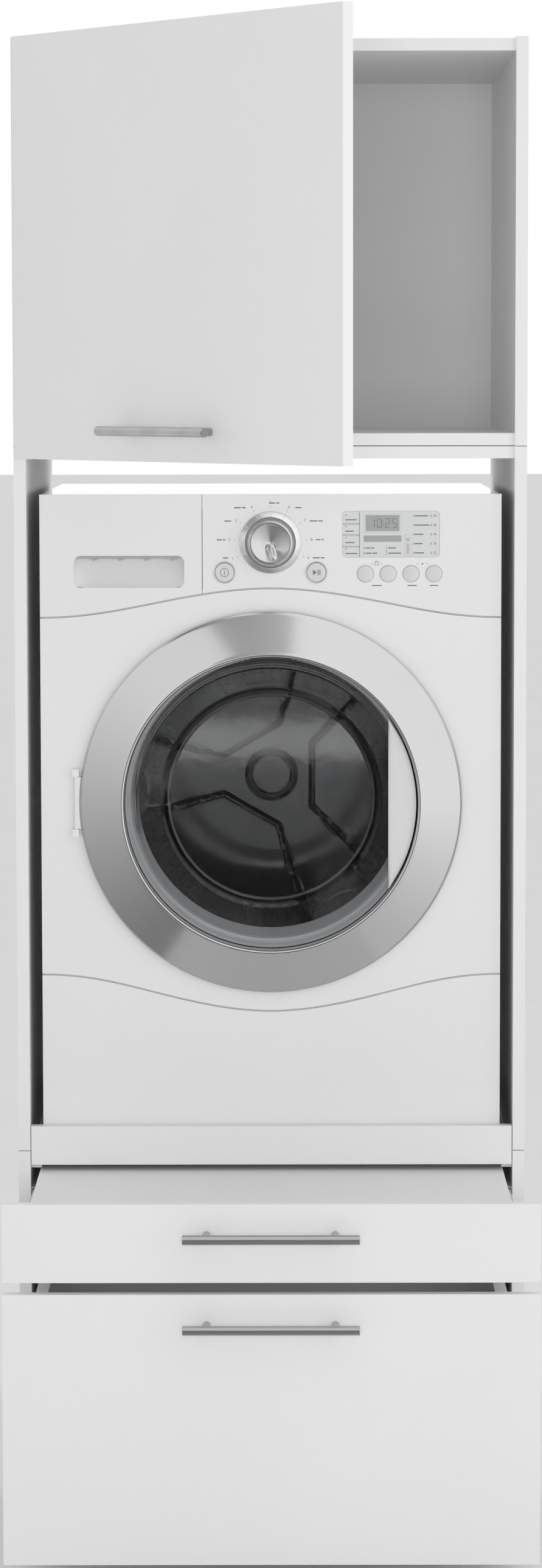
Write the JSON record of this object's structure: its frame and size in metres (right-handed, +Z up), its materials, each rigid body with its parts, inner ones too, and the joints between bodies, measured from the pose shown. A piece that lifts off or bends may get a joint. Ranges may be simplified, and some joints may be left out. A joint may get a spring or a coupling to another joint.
{
  "type": "laundry cabinet with washing machine",
  "caption": "Tall white laundry cabinet: front-loading washing machine on a platform above a pull-out shelf and a deep drawer, with a cupboard with one door on top.",
  "frame": {"origin": "on the floor, under the middle of the whole thing as it stands with its door open and its shelf and drawer pulled out", "axes": "+Z up, +X to the user's right, -Y towards the user"},
  "size_m": [0.675, 1.1934, 1.935],
  "materials": {
    "white_board": "white melamine",
    "bar_steel": "brushed",
    "runner_steel": "white epoxy",
    "hinge_steel": "nickel",
    "glide_plastic": "matt",
    "machine_enamel": "white enamel",
    "machine_plastic": "satin white",
    "galvanised": "galvanised",
    "ring_silver": "satin",
    "dark_glass": "smoked",
    "display_plastic": "satin",
    "bezel_chrome": "satin chrome",
    "button_plastic": "satin grey",
    "gasket_rubber": "matt",
    "drum_steel": "polished",
    "lifter_plastic": "glossy grey",
    "tub_plastic": "filled polypropylene",
    "concrete": "cast concrete",
    "stator_copper": "enamelled windings",
    "bearing_steel": "ground",
    "strut_metal": "grey"
  },
  "bodies": {
    "cabinet": {"base_sides": "white_board", "base_bottom": "white_board", "base_back": "white_board", "platform": "white_board", "platform_battens": "white_board", "retaining_board": "white_board", "bay_sides": "white_board", "bay_ceiling": "white_board", "cupboard_sides": "white_board", "cupboard_bottom": "white_board", "cupboard_top": "white_board", "cupboard_back": "white_board", "cabinet_rails": "runner_steel", "hinge_arms": "hinge_steel", "floor_glides": "glide_plastic", "machine_feet": "glide_plastic", "machine_sides": "machine_enamel", "machine_cover": "machine_enamel", "machine_front": "machine_enamel", "kick_panel": "machine_enamel", "control_fascia": "machine_plastic", "machine_back_panel": "galvanised", "machine_base": "galvanised", "display_window": "display_plastic", "control_bezels": "bezel_chrome", "door_gasket": "gasket_rubber", "tub": "tub_plastic", "detergent_housing": "tub_plastic", "counterweights": "concrete", "motor_stator": "stator_copper", "drum_bearings": "bearing_steel", "suspension": "strut_metal"},
    "cupboard_door": {"cupboard_door": "white_board", "door_handle": "bar_steel", "hinge_cups": "hinge_steel"},
    "shelf": {"shelf_front": "white_board", "shelf_tray": "white_board", "shelf_handle": "bar_steel", "shelf_rails": "runner_steel"},
    "drawer": {"drawer_front": "white_board", "drawer_walls": "white_board", "drawer_bottom": "white_board", "drawer_handle": "bar_steel", "drawer_rails": "runner_steel"},
    "porthole_door": {"porthole_ring": "ring_silver", "porthole_glass": "dark_glass", "porthole_grip": "machine_plastic", "porthole_hinge": "machine_plastic"},
    "detergent_drawer": {"detergent_drawer": "machine_plastic"},
    "program_knob": {"program_knob": "ring_silver"},
    "power_button": {"power_button": "button_plastic"},
    "start_button": {"start_button": "button_plastic"},
    "option_button_1": {"option_button_1": "button_plastic"},
    "option_button_2": {"option_button_2": "button_plastic"},
    "option_button_3": {"option_button_3": "button_plastic"},
    "option_button_4": {"option_button_4": "button_plastic"},
    "drum": {"drum_shell": "drum_steel", "drum_lifters": "lifter_plastic", "drum_shaft": "drum_steel", "motor_rotor": "bearing_steel"}
  },
  "joints": [
    {"name": "cupboard_door_hinge", "type": "hinge", "parent": "cabinet", "child": "cupboard_door", "pos_m": [-0.3355, -0.07614, 0], "axis": [0, 0, -1], "range_deg": [-50.9, 59.1]},
    {"name": "shelf_slide", "type": "slide", "parent": "cabinet", "child": "shelf", "axis": [0, -1, 0], "range_m": [-0.377, 0.013]},
    {"name": "drawer_slide", "type": "slide", "parent": "cabinet", "child": "drawer", "axis": [0, -1, 0], "range_m": [-0.383, 0.007]},
    {"name": "porthole_hinge", "type": "hinge", "parent": "cabinet", "child": "porthole_door", "pos_m": [-0.2585, -0.04564, 0.932], "axis": [0, 0, -1], "range_deg": [0, 120]},
    {"name": "detergent_slide", "type": "slide", "parent": "cabinet", "child": "detergent_drawer", "axis": [0, -1, 0], "range_m": [0, 0.2]},
    {"name": "program_knob_turn", "type": "hinge", "parent": "cabinet", "child": "program_knob", "pos_m": [0, -0.04114, 1.2765], "axis": [0, -1, 0], "continuous": true},
    {"name": "power_button_press", "type": "slide", "parent": "cabinet", "child": "power_button", "axis": [0, 1, 0], "range_m": [0, 0.0015], "stiffness_N_per_m": 500, "springref_m": -0.0006},
    {"name": "start_button_press", "type": "slide", "parent": "cabinet", "child": "start_button", "axis": [0, 1, 0], "range_m": [0, 0.0015], "stiffness_N_per_m": 500, "springref_m": -0.0006},
    {"name": "option_button_1_press", "type": "slide", "parent": "cabinet", "child": "option_button_1", "axis": [0, 1, 0], "range_m": [0, 0.0015], "stiffness_N_per_m": 500, "springref_m": -0.0006},
    {"name": "option_button_2_press", "type": "slide", "parent": "cabinet", "child": "option_button_2", "axis": [0, 1, 0], "range_m": [0, 0.0015], "stiffness_N_per_m": 500, "springref_m": -0.0006},
    {"name": "option_button_3_press", "type": "slide", "parent": "cabinet", "child": "option_button_3", "axis": [0, 1, 0], "range_m": [0, 0.0015], "stiffness_N_per_m": 500, "springref_m": -0.0006},
    {"name": "option_button_4_press", "type": "slide", "parent": "cabinet", "child": "option_button_4", "axis": [0, 1, 0], "range_m": [0, 0.0015], "stiffness_N_per_m": 500, "springref_m": -0.0006},
    {"name": "drum_spin", "type": "hinge", "parent": "cabinet", "child": "drum", "pos_m": [0, 0.03686, 0.932], "axis": [0, -1, 0], "continuous": true}
  ]
}
